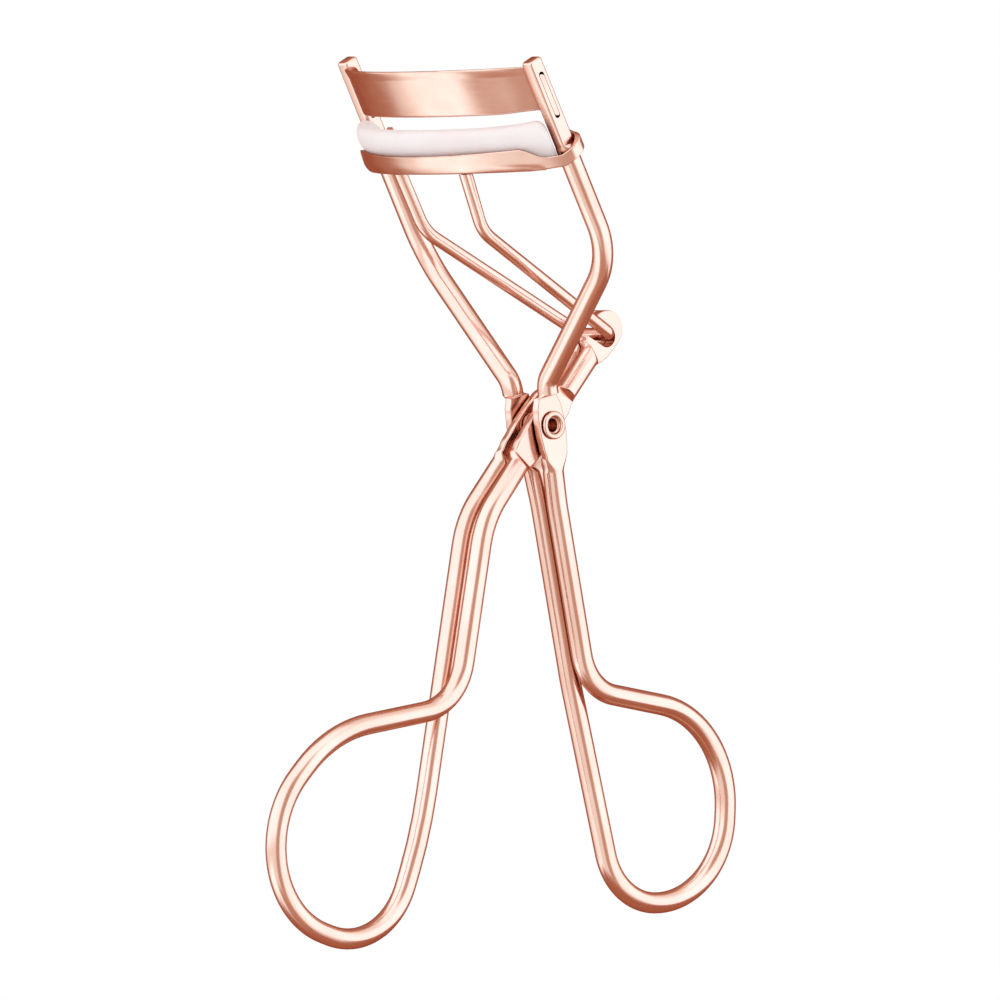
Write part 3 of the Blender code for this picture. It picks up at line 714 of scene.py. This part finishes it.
upper_radius = (UPPER_CHORD ** 2 + BOW ** 2) / (2 * BOW)
end_turn = math.asin(UPPER_CHORD / upper_radius)
ARC_STEPS = 120
arc = [upper_radius * math.sin(end_turn * (2 * i / ARC_STEPS - 1)) for i in range(1, ARC_STEPS)]
tab_end = RAIL_X + RAIL_SECTION[1]
tab_start = RAIL_X - RAIL_SECTION[1] - TAB_LEAD
places = [(-tab_end, 0), (-tab_start, 0)] + [(x, arc_bow(upper_radius, x)) for x in arc]
places += [(tab_start, 0), (tab_end, 0)]
rings = []
for i, (x, bow, out_x, out_bow) in enumerate(strip_path(places)):
    tab = i < 2 or i > len(places) - 3
    low = TAPER_RISE * smooth((abs(x) - TAPER_START) / (UPPER_CHORD - TAPER_START))
    high = UPPER_HEIGHT
    half = UPPER_THICK / 2
    if tab:
        low = SLOT_MIDDLE - TAB_HEIGHT / 2
        high = SLOT_MIDDLE + TAB_HEIGHT / 2
        half = TAB_THICK / 2
        out_x, out_bow = 0, 1
    ring = []
    levels = [high - depth for depth in LIP_DEPTHS]
    for off, up in rounded_section(low, high, half, half * UPPER_EDGE, levels):
        off += 0 if tab else LIP_OUT * max(up - high + LIP_DEPTHS[0], 0) / LIP_DEPTHS[0]
        ring.append(jaw_point(x + out_x * off, bow + out_bow * off, UPPER_BOTTOM_Z, up))
    rings.append(ring)
curved_upper_bar = skin("curved_upper_bar", rings, pressed_strip)
facing_out(curved_upper_bar)
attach(curved_upper_bar, "frame")
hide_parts("upper_bar")


# Pivot rivets: two short tubes of plated steel, one through each pair of ears, flared outside to a domed
# flange and rolled inside, so that the handles turn on them. The bore steps in near its mouth and is open.
LEVER_EAR_X = 1.2
RIVET_GAP = 0.15
RIVET_STEPS = 64
outer = FRAME_EAR_X + EAR_HALF_THICK + RIVET_GAP
inner = LEVER_EAR_X - EAR_HALF_THICK - RIVET_GAP
RIVET_SECTION = [(outer, 1.25), (outer, 1.58), (outer + 0.05, 1.65), (outer + 0.14, 1.67),
                 (outer + 0.24, 1.62), (outer + 0.32, 1.50), (outer + 0.35, 1.36), (outer + 0.34, 1.22),
                 (outer + 0.27, 1.10), (outer + 0.14, 1.03), (outer - 0.02, 1.01), (outer - 0.1, 0.96),
                 (outer - 0.14, 0.86), (outer - 0.22, 0.79), (outer - 0.4, 0.77), (inner - 0.2, 0.77),
                 (inner - 0.35, 0.83), (inner - 0.35, 1.48), (inner - 0.28, 1.57), (inner, 1.57),
                 (inner, 1.25)]


def rivet_tree():
    """Node tree that turns a rivet's section round the pivot and sets one on each side."""
    tree = shape_tree("flared_rivets", {"Section": "Geometry", "Steps round": "Int", "Finish": "Material"},
                      "Rivets")
    given = add_node(tree, "NodeGroupInput").outputs
    ring = add_node(tree, "GeometryNodeCurvePrimitiveCircle", {"Resolution": given["Steps round"]})
    along = add_node(tree, "GeometryNodeSplineParameter").outputs["Factor"]
    angle = add_node(tree, "ShaderNodeMath", {0: along, 1: math.tau}, operation="MULTIPLY")
    marked = add_node(tree, "GeometryNodeStoreNamedAttribute",
                      {"Geometry": ring.outputs["Curve"], "Name": "turn", "Value": angle.outputs[0]},
                      data_type="FLOAT", domain="POINT")
    line = add_node(tree, "GeometryNodeMeshToCurve", {"Mesh": given["Section"]})
    spun = add_node(tree, "GeometryNodeCurveToMesh",
                    {"Curve": marked.outputs["Geometry"], "Profile Curve": line.outputs["Curve"]})
    turn = add_node(tree, "GeometryNodeInputNamedAttribute", {"Name": "turn"}, data_type="FLOAT").outputs[0]
    out = add_node(tree, "GeometryNodeInputNamedAttribute", {"Name": "reach"}, data_type="FLOAT_VECTOR")
    parts = add_node(tree, "ShaderNodeSeparateXYZ", {0: out.outputs[0]}).outputs
    place_round = [parts[0]]
    for wave in ("COSINE", "SINE"):
        swing = add_node(tree, "ShaderNodeMath", {0: turn}, operation=wave)
        part = add_node(tree, "ShaderNodeMath", {0: swing.outputs[0], 1: parts[1]}, operation="MULTIPLY")
        place_round.append(part.outputs[0])
    point = add_node(tree, "ShaderNodeCombineXYZ", dict(enumerate(place_round)))
    shaped = add_node(tree, "GeometryNodeSetPosition",
                      {"Geometry": spun.outputs["Mesh"], "Position": point.outputs[0]})
    sides = add_node(tree, "GeometryNodeMeshLine",
                     {"Count": 2, "Start Location": PIVOT, "Offset": (0, 0, 0)})
    number = add_node(tree, "GeometryNodeInputIndex").outputs[0]
    flip = add_node(tree, "ShaderNodeMath", {0: number, 1: -2.0, 2: 1.0}, operation="MULTIPLY_ADD")
    mirror = add_node(tree, "ShaderNodeCombineXYZ", {0: flip.outputs[0], 1: 1.0, 2: 1.0})
    both = add_node(tree, "GeometryNodeInstanceOnPoints",
                    {"Points": sides.outputs["Mesh"], "Instance": shaped.outputs["Geometry"],
                     "Scale": mirror.outputs[0]})
    real = add_node(tree, "GeometryNodeRealizeInstances", {"Geometry": both.outputs["Instances"]})
    plated = add_node(tree, "GeometryNodeSetMaterial",
                      {"Geometry": real.outputs["Geometry"], "Material": given["Finish"]})
    add_node(tree, "NodeGroupOutput", {0: plated.outputs["Geometry"]})
    return tree


section_mesh = bpy.data.meshes.new("pivot_rivets")
count = len(RIVET_SECTION)
section_mesh.from_pydata([(x * 0.001, 0, r * 0.001) for x, r in RIVET_SECTION],
                         [(i, (i + 1) % count) for i in range(count)], [])
reach = section_mesh.attributes.new("reach", "FLOAT_VECTOR", "POINT")
reach.data.foreach_set("vector", [c for x, r in RIVET_SECTION for c in (x * 0.001, r * 0.001, 0)])
pivot_rivets = put("pivot_rivets", section_mesh)
flare = pivot_rivets.modifiers.new("flare", "NODES")
flare.node_group = rivet_tree()
set_inputs(flare, {"Steps round": RIVET_STEPS, "Finish": pressed_strip})
settle(pivot_rivets)
facing_out(pivot_rivets)
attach(pivot_rivets, "frame")
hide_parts("pivot_rivet_front", "pivot_rivet_rear")


# Lever: a second length of the same wire, coined flat at the pivot and at its two top ends. The end plates
# are notched to catch the yoke's cross bar, and the wire's middle is looped for the finger.
LEVER_LEAN = math.radians(41)
LEVER_STRAND_X = 1.7
LEVER_ARM_X = 1.5
LEVER_EAR_MARKS = ((4.8, 1.5), (3.2, 1.92), (1.2, EAR_HALF_WIDTH), (-1.2, EAR_HALF_WIDTH), (-3.6, 1.9),
                   (-5.3, 1.62))
LEVER_ARM_FOOT = 5.1
LEVER_STRAND_TOP = (-6.3, 1.62)
LEVER_ELBOW = (1, -9.35, -11.0, 12.0)
LEVER_LOOP = [(-1, -16.36, -47.93, 50.0), (-0.8, -22.19, -62.52, 10.0), (-0.3, -49.35, -54.82, 11.4),
              (0.6, -32.55, -36.06, 16.2), (1, -13.57, -32.94, 7.3)]
HOOK_X = 0.86
HOOK_HALF_THICK = 0.74
HOOK_EDGE = 0.2
HOOK_HALF_WIDTH = 2.25
HOOK_CENTRE = 14.95
HOOK_ROUND_STEP = 4
HOOK_SIDE = ((HOOK_CENTRE - 0.4, HOOK_HALF_WIDTH), (12.8, 2.2))
HOOK_SHOULDER = ((12.0, 1.95, 9, 0), (11.2, 1.55, 18, 0), (11.17, 1.55, 18, 0.3), (11.1, 1.5, 18, 0.53),
                 (10.95, 1.4, 18, 0.76), (10.7, 1.3, 18, 0.93), (10.4, WIRE_R, 18, 1))
CROSS_BAR_ALONG = 14.1
CROSS_BAR_ASIDE = -0.35
NOTCH_DIP = math.radians(27.5)
NOTCH_HALF_WIDTH = 1.3
NOTCH_DEPTH = 0.75
NOTCH_RISE = -0.08
NOTCH_LENGTH = 8.0
NOTCH_STEPS = 24
NOTCH_REACH = 5

down_lever = -side_line(LEVER_LEAN, 1, 0)
hook_marks = []
for degrees in range(90 - HOOK_ROUND_STEP, -1, -HOOK_ROUND_STEP):
    turn = math.radians(degrees)
    hook_marks.append((HOOK_CENTRE + HOOK_HALF_WIDTH * math.sin(turn), HOOK_HALF_WIDTH * math.cos(turn)))
hook_marks += HOOK_SIDE
side = [(side_line(LEVER_LEAN, along, HOOK_X), down_lever, (half, HOOK_HALF_THICK, min(HOOK_EDGE, half)))
        for along, half in hook_marks]
aside = Vector((0, math.cos(LEVER_LEAN), -math.sin(LEVER_LEAN)))
for along, half, tilt, bulge in HOOK_SHOULDER:
    heading = down_lever * math.cos(math.radians(tilt)) - aside * math.sin(math.radians(tilt))
    thick = HOOK_HALF_THICK + (WIRE_R - HOOK_HALF_THICK) * bulge
    edge = HOOK_EDGE + (WIRE_R - HOOK_EDGE) * bulge
    side.append((side_line(LEVER_LEAN, along, HOOK_X + (LEVER_ARM_X - HOOK_X) * bulge), heading,
                 (half, thick, min(edge, thick))))
side.append((side_line(LEVER_LEAN, LEVER_ARM_FOOT, LEVER_ARM_X), down_lever, ROUND))
side += ear_stations(LEVER_LEAN, LEVER_EAR_X, LEVER_EAR_MARKS)
strand_top = side_line(LEVER_LEAN, *LEVER_STRAND_TOP)
handle = handle_stations(LEVER_STRAND_X, strand_top, LEVER_ELBOW, LEVER_LOOP)
bent_lever = bend_wire("bent_lever", eased(other_side(side) + handle + backwards(side)), drawn_wire)

cross_bar = side_line(LEVER_LEAN, CROSS_BAR_ALONG, 0) + aside * CROSS_BAR_ASIDE
into = Vector((0, math.cos(NOTCH_DIP), -math.sin(NOTCH_DIP)))
over = Vector((0, math.sin(NOTCH_DIP), math.cos(NOTCH_DIP)))
closed_end = cross_bar + into * NOTCH_DEPTH + over * NOTCH_RISE
notch_outline = [closed_end - into * NOTCH_LENGTH + over * NOTCH_HALF_WIDTH]
for k in range(NOTCH_STEPS + 1):
    turn = math.pi * (0.5 - k / NOTCH_STEPS)
    notch_outline.append(closed_end + (into * math.cos(turn) + over * math.sin(turn)) * NOTCH_HALF_WIDTH)
notch_outline.append(closed_end - into * NOTCH_LENGTH - over * NOTCH_HALF_WIDTH)
cut(bent_lever, [pivot_bore(), prism("notch_cutter", notch_outline, (NOTCH_REACH, 0, 0))])
facing_out(bent_lever)
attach(bent_lever, "lever")
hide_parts("lever_wire")


# Lower bar: a strip pressed to a channel that follows the upper bar's curve. Its front wall runs on past the
# channel, narrows, and is curled round each rail as a loose eyelet that slides on it.
LOWER_BOTTOM_Z = 30.2
WALL_THICK = 0.7
WALL_HEIGHT = 2.9
WALL_OFFSET = 1.7
WALL_TOE = 0.3
WALL_BEND = 1.2
WALL_TUCK = 0.2
WALL_EDGE = 0.12
WALL_LEVELS = 10
END_TUCK = 0.3
RIM_DIP = 0.55
SHOULDER_START = 14.1
SHOULDER_END = 16.5
BAND_HEIGHT = 1.5
EYELET_R = 1.9
EYELET_SLOPE = 0.72
TAIL_RISE = 1.3
END_BOW = 5.0
END_SLOPE = 0.14
EYELET_END = math.radians(128)
CHANNEL_HALF_LENGTH = 14.6
FLOOR_LIP = 0.3
YOKE_LEG_X = 5.9
STAKE_HOLE_R = 0.62
STAKE_HOLE_SIDES = 24
STAKE_HOLE_MIDDLE = 0.5
STAKE_HOLE_REACH = 2
STAKE_SET_FORWARD = 0.1
eyelet_gap = WALL_OFFSET - EYELET_R
LOWER_RADIUS = (RAIL_X ** 2 + BOW ** 2 - eyelet_gap ** 2) / (2 * (BOW + eyelet_gap))
CENTRE_BOW = BOW - LOWER_RADIUS


def arc_point(turn, off, up):
    """A point of the lower jaw at a turn along its arc, outward of it and up from the channel's bottom."""
    reach = LOWER_RADIUS + off
    return jaw_point(math.sin(turn) * reach, CENTRE_BOW + math.cos(turn) * reach, LOWER_BOTTOM_Z, up)


def wall_section(tall, shaped, tuck):
    """Section of the front wall as (outward, up): a flat band at shaped 0, toed in and tucked under at 1."""
    made = []
    levels = [tall * k / WALL_LEVELS for k in range(1, WALL_LEVELS)]
    for off, up in rounded_section(0, tall, WALL_THICK / 2, WALL_EDGE, levels, 4):
        foot = tuck * max(1 - up / WALL_BEND, 0) ** 2
        made.append((off + shaped * (WALL_TOE * (0.5 - up / WALL_HEIGHT) - foot), up))
    return made


meet = math.atan2(RAIL_X, -CENTRE_BOW)
WALL_STEPS = 140
CURL_STEPS = 40
wall_reach = LOWER_RADIUS + WALL_OFFSET
places = []
for i in range(WALL_STEPS + 1):
    turn = meet * (2 * i / WALL_STEPS - 1)
    places.append((wall_reach * math.sin(turn), CENTRE_BOW + wall_reach * math.cos(turn)))
curl = []
for k in range(1, CURL_STEPS + 1):
    turn = meet + (math.pi / 2 + EYELET_END - meet) * k / CURL_STEPS
    curl.append((RAIL_X + EYELET_R * math.sin(turn), EYELET_R * math.cos(turn)))
places = [(-x, bow) for x, bow in reversed(curl)] + places + curl
rings = []
for x, bow, out_x, out_bow in strip_path(places):
    narrow = smooth((abs(x) - SHOULDER_START) / (SHOULDER_END - SHOULDER_START)) if bow > 0 else 1
    at_end = min((x / SHOULDER_START) ** 2, 1)
    full = WALL_HEIGHT - RIM_DIP * (1 - at_end)
    tall = full + (BAND_HEIGHT - full) * narrow
    lift = max(END_BOW - bow, 0) * END_SLOPE
    lift += max(EYELET_R - bow, 0) * (EYELET_SLOPE - RISE - END_SLOPE)
    lift += TAIL_RISE * max((RAIL_X - abs(x)) / EYELET_R, 0) if bow < 0 else 0
    rings.append([jaw_point(x + out_x * off, bow + out_bow * off, LOWER_BOTTOM_Z, up, lift)
                  for off, up in wall_section(tall, 1 - narrow, WALL_TUCK + END_TUCK * at_end)])
channel_lower_bar = skin("channel_lower_bar", rings, pressed_strip)
facing_out(channel_lower_bar)

inside = WALL_OFFSET - WALL_THICK / 2
outside = inside + WALL_THICK
tucked = inside - FLOOR_LIP
trough_section = [(tucked, 0.02), (tucked, WALL_THICK), (-inside, WALL_THICK), (-inside, WALL_HEIGHT - 0.15),
                  (-inside - 0.1, WALL_HEIGHT - 0.04), (-inside - 0.2, WALL_HEIGHT),
                  (-outside + 0.2, WALL_HEIGHT), (-outside + 0.1, WALL_HEIGHT - 0.04),
                  (-outside, WALL_HEIGHT - 0.15), (-outside, 0.7), (-outside + 0.06, 0.45),
                  (-outside + 0.2, 0.25), (-outside + 0.42, 0.1), (-outside + 0.7, 0.02)]
TROUGH_STEPS = 90
trough_turn = math.asin(CHANNEL_HALF_LENGTH / LOWER_RADIUS)
rings = []
for i in range(TROUGH_STEPS + 1):
    turn = trough_turn * (2 * i / TROUGH_STEPS - 1)
    rings.append([arc_point(turn, off, up) for off, up in trough_section])
trough = skin("trough", rings, pressed_strip)
facing_out(trough)
joined = channel_lower_bar.modifiers.new("join", "BOOLEAN")
joined.operation = "UNION"
joined.solver = "EXACT"
joined.object = trough
settle(channel_lower_bar)
bpy.data.objects.remove(trough, do_unlink=True)


def leg_seat(sign):
    """Where a yoke leg meets the underside of the channel's floor."""
    bow = arc_bow(LOWER_RADIUS, YOKE_LEG_X) + STAKE_SET_FORWARD
    return jaw_point(sign * YOKE_LEG_X, bow, LOWER_BOTTOM_Z, 0)


stake_holes = []
for sign in (-1, 1):
    ring = []
    for k in range(STAKE_HOLE_SIDES):
        turn = math.tau * k / STAKE_HOLE_SIDES
        ring.append(leg_seat(sign) + Vector((math.cos(turn), 0, 0)) * STAKE_HOLE_R
                    + square_to_rail * (math.sin(turn) * STAKE_HOLE_R) + UP_RAIL * STAKE_HOLE_MIDDLE)
    stake_holes.append(prism("stake_hole", ring, UP_RAIL * STAKE_HOLE_REACH))
cut(channel_lower_bar, stake_holes)
facing_out(channel_lower_bar)
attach(channel_lower_bar, "lower_jaw")
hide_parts("lower_bar")


# Pad: a moulded strip of soft silicone, pressed into the channel and standing proud of it with a rounded
# crown. It can be pulled out and changed. Its ends rise a little and are rounded off beside the rails.
PAD_TOP = 5.8
PAD_CROWN = 1.62
PAD_DOME = 1.75
PAD_SQUARENESS = 0.8
PAD_HALF_LENGTH = 15.3
PAD_END_RISE = 0.7
PAD_GAP = 0.15
PAD_STEPS = 110
END_STEPS = 9
END_ROUND = 0.05
END_LEFT = 0.6
END_REACH = 0.97
PAD_CREASE = math.radians(60)
MOULD_GRAIN_MM = 0.12
CLOUD_MM = 5.0
pad_base = inside - PAD_GAP
pad_floor = WALL_THICK + PAD_GAP
pad_shoulder = WALL_HEIGHT + PAD_GAP

silicone, nodes = new_finish("moulded_translucent_silicone")
where = add_node(nodes, "ShaderNodeTexCoord").outputs["Object"]
grain = add_node(nodes, "ShaderNodeTexNoise",
                 {"Vector": where, "Scale": 1000 / MOULD_GRAIN_MM, "Detail": 2.0})
cloud = add_node(nodes, "ShaderNodeTexNoise", {"Vector": where, "Scale": 1000 / CLOUD_MM, "Detail": 2.0})
tone = two_tones(nodes, cloud.outputs["Fac"], "#F5EAEA", "#F9F0F0")
skin_grain = add_node(nodes, "ShaderNodeBump", {"Height": grain.outputs["Fac"], "Strength": 0.12,
                                                "Distance": 0.00004})
rubber = add_node(nodes, "ShaderNodeBsdfPrincipled",
                  {"Base Color": tone, "Roughness": 0.48, "IOR": 1.41, "Subsurface Weight": 0.8,
                   "Subsurface Radius": (1.0, 0.85, 0.85), "Subsurface Scale": 0.0016,
                   "Normal": skin_grain.outputs[0]})
add_node(nodes, "ShaderNodeOutputMaterial", {0: rubber.outputs[0]})

half_section = [(pad_base, pad_floor), (pad_base, 1.6), (pad_base, 2.2), (pad_base + 0.05, 2.5),
                (pad_base + 0.2, WALL_HEIGHT), (pad_base + 0.31, 3.3), (PAD_CROWN - 0.03, 3.6),
                (PAD_CROWN, 3.9)]
for degrees in range(10, 100, 10):
    turn = math.radians(degrees)
    half_section.append((PAD_CROWN * math.cos(turn) ** PAD_SQUARENESS,
                         PAD_TOP - PAD_DOME + PAD_DOME * math.sin(turn)))
pad_section = half_section[:-1] + [(0, PAD_TOP)] + [(-off, up) for off, up in reversed(half_section[:-1])]
pad_turn = math.asin(PAD_HALF_LENGTH / LOWER_RADIUS)
pad_middle = (pad_floor + PAD_TOP) / 2
rings = []
for i in range(-END_STEPS, PAD_STEPS + END_STEPS + 1):
    held = min(max(i, 0), PAD_STEPS)
    past = max(-i, i - PAD_STEPS, 0) / END_STEPS
    curl_in = math.sin(past * math.pi / 2 * END_REACH)
    shrink = END_LEFT + (1 - END_LEFT) * math.sqrt(1 - curl_in * curl_in)
    turn = pad_turn * (2 * held / PAD_STEPS - 1)
    turn += math.copysign(END_ROUND * curl_in, turn)
    rise = PAD_END_RISE * (turn / pad_turn) ** 4 * shrink
    ring = []
    for off, up in pad_section:
        level = pad_middle + (up - pad_middle) * shrink
        level += rise * max(up - pad_shoulder, 0) / (PAD_TOP - pad_shoulder)
        ring.append(arc_point(turn, off * shrink, level))
    rings.append(ring)
soft_pad = skin("soft_pad", rings, silicone)
facing_out(soft_pad, PAD_CREASE)
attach(soft_pad, "lower_jaw")
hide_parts("silicone_pad")


# Yoke: a thinner wire bent to a narrow U. Its two legs are staked into the channel's floor, and its cross
# bar lies in the lever's notches, so that squeezing the handles drives the lower bar up the rails.
YOKE_R = 0.76
YOKE_SIDES = 32
YOKE_KNEE = Vector((5.2, -12.7, 22.8))
YOKE_KNEE_BEND = 5.0
YOKE_HOOK_X = 2.65
YOKE_HOOK_BEND = 1.1
STAKE_R = 0.5
STAKE_SHORT = 0.05
STEP_LENGTH = 0.01
LEG_GAP = 0.15
SEATED_BY = 0.35
seat = leg_seat(1)
leg_top = seat - UP_RAIL * LEG_GAP
hook_corner = cross_bar + into * SEATED_BY + Vector((YOKE_HOOK_X, 0, 0))
half_yoke = [(leg_top, 0), (YOKE_KNEE, YOKE_KNEE_BEND), (hook_corner, YOKE_HOOK_BEND)]
corners = half_yoke + [(point * MIRROR_X, radius) for point, radius in reversed(half_yoke)]
legs = [(point, heading, (YOKE_R, YOKE_R, YOKE_R)) for point, heading in bent_path(corners)][1:-1]
from_floor = Vector((0, RISE, -1)).normalized()
stake = (STAKE_R, STAKE_R, STAKE_R)
shoulder = (YOKE_R, YOKE_R / math.cos(RAIL_LEAN), YOKE_R)
start = [(seat + UP_RAIL * (WALL_THICK - STAKE_SHORT), from_floor, stake), (leg_top, from_floor, stake),
         (leg_top - UP_RAIL * STEP_LENGTH, from_floor, shoulder)]
ending = other_side(backwards(start))
pusher_yoke = bend_wire("pusher_yoke", start + legs + ending, drawn_wire, YOKE_SIDES, over)
facing_out(pusher_yoke)
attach(pusher_yoke, "lower_jaw")
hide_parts("yoke_wire")


bpy.context.view_layer.update()
